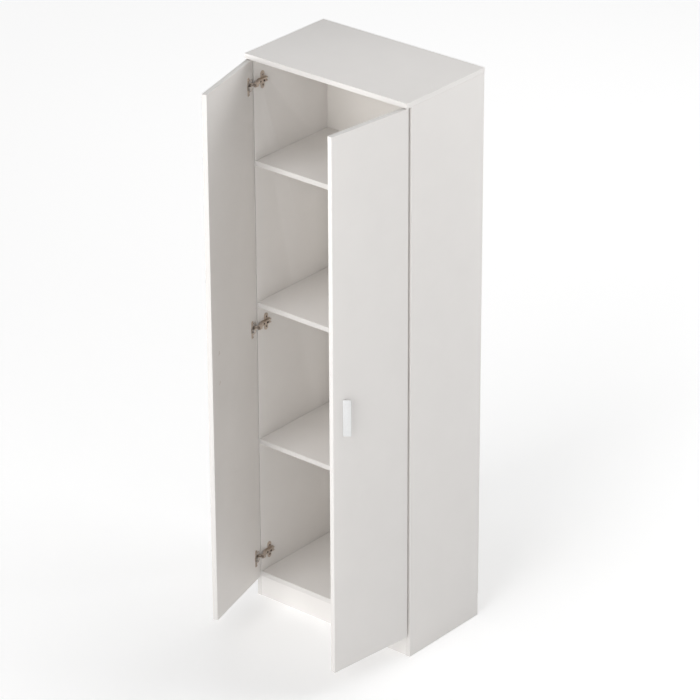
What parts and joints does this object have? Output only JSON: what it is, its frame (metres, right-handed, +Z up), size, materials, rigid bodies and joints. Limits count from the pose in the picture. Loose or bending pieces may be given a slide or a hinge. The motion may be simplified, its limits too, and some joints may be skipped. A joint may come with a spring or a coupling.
{
  "type": "broom cupboard",
  "caption": "Tall free-standing cupboard with two full-height doors on concealed hinges, shelves on pins, a plinth and lipped metal pulls.",
  "frame": {"origin": "middle of the plinth's underside, on the floor", "axes": "+Z up, +X to the cupboard's right as seen from the front, +Y to the back"},
  "size_m": [0.6, 0.6337, 1.788],
  "materials": {
    "white_board": "white melamine-faced chipboard, fine satin texture, matching edge band",
    "back_board": "white-faced hardboard, matt",
    "nickel": "nickel-plated pressed steel, satin",
    "link_steel": "nickel-plated steel links, slightly oiled",
    "zinc": "zinc-plated steel",
    "satin_aluminium": "satin anodised extrusion, faint lengthwise brushing"
  },
  "bodies": {
    "carcass": {"top_panel": "white_board", "left_side": "white_board", "right_side": "white_board", "bottom_panel": "white_board", "plinth": "white_board", "back_panel": "back_board", "lower_shelf": "white_board", "middle_shelf": "white_board", "upper_shelf": "white_board", "lower_shelf_pin_left_front": "zinc", "lower_shelf_pin_left_back": "zinc", "lower_shelf_pin_right_front": "zinc", "lower_shelf_pin_right_back": "zinc", "middle_shelf_pin_left_front": "zinc", "middle_shelf_pin_left_back": "zinc", "middle_shelf_pin_right_front": "zinc", "middle_shelf_pin_right_back": "zinc", "upper_shelf_pin_left_front": "zinc", "upper_shelf_pin_left_back": "zinc", "upper_shelf_pin_right_front": "zinc", "upper_shelf_pin_right_back": "zinc", "left_lower_hinge_plate": "nickel", "left_lower_hinge_arm": "nickel", "left_middle_hinge_plate": "nickel", "left_middle_hinge_arm": "nickel", "left_upper_hinge_plate": "nickel", "left_upper_hinge_arm": "nickel", "right_lower_hinge_plate": "nickel", "right_lower_hinge_arm": "nickel", "right_middle_hinge_plate": "nickel", "right_middle_hinge_arm": "nickel", "right_upper_hinge_plate": "nickel", "right_upper_hinge_arm": "nickel"},
    "left_outer_links": {"left_lower_hinge_outer_link": "link_steel", "left_middle_hinge_outer_link": "link_steel", "left_upper_hinge_outer_link": "link_steel"},
    "left_inner_links": {"left_lower_hinge_inner_link": "link_steel", "left_middle_hinge_inner_link": "link_steel", "left_upper_hinge_inner_link": "link_steel"},
    "left_door_body": {"left_door": "white_board", "left_handle": "satin_aluminium", "left_handle_screw_1": "zinc", "left_handle_screw_2": "zinc", "left_lower_hinge_cup": "nickel", "left_middle_hinge_cup": "nickel", "left_upper_hinge_cup": "nickel"},
    "right_outer_links": {"right_lower_hinge_outer_link": "link_steel", "right_middle_hinge_outer_link": "link_steel", "right_upper_hinge_outer_link": "link_steel"},
    "right_inner_links": {"right_lower_hinge_inner_link": "link_steel", "right_middle_hinge_inner_link": "link_steel", "right_upper_hinge_inner_link": "link_steel"},
    "right_door_body": {"right_door": "white_board", "right_handle": "satin_aluminium", "right_handle_screw_1": "zinc", "right_handle_screw_2": "zinc", "right_lower_hinge_cup": "nickel", "right_middle_hinge_cup": "nickel", "right_upper_hinge_cup": "nickel"}
  },
  "joints": [
    {"name": "left_outer_link_pivot", "type": "hinge", "parent": "carcass", "child": "left_outer_links", "pos_m": [-0.27, -0.0125, 0.92], "axis": [0, 0, -1], "range_deg": [-8.78, 25.82]},
    {"name": "left_door_hinge", "type": "hinge", "parent": "left_outer_links", "child": "left_door_body", "pos_m": [-0.28561, -0.02461, 0.92], "axis": [0, 0, -1], "range_deg": [-100.47, 34.03]},
    {"name": "left_inner_link_pivot", "type": "hinge", "parent": "carcass", "child": "left_inner_links", "pos_m": [-0.27, -0.0175, 0.92], "axis": [0, 0, -1], "range_deg": [-16.24, 47.86]},
    {"name": "right_outer_link_pivot", "type": "hinge", "parent": "carcass", "child": "right_outer_links", "pos_m": [0.27, -0.0125, 0.92], "axis": [0, 0, 1], "range_deg": [-5.67, 28.93]},
    {"name": "right_door_hinge", "type": "hinge", "parent": "right_outer_links", "child": "right_door_body", "pos_m": [0.28493, -0.02544, 0.92], "axis": [0, 0, 1], "range_deg": [-112.58, 21.92]},
    {"name": "right_inner_link_pivot", "type": "hinge", "parent": "carcass", "child": "right_inner_links", "pos_m": [0.27, -0.0175, 0.92], "axis": [0, 0, 1], "range_deg": [-10.48, 53.62]}
  ],
  "couplings": [
    {"joint": "left_outer_link_pivot", "follows": "left_door_hinge", "ratio": -0.25651},
    {"joint": "left_inner_link_pivot", "follows": "left_door_hinge", "ratio": -0.47584},
    {"joint": "right_outer_link_pivot", "follows": "right_door_hinge", "ratio": -0.25651},
    {"joint": "right_inner_link_pivot", "follows": "right_door_hinge", "ratio": -0.47584}
  ]
}
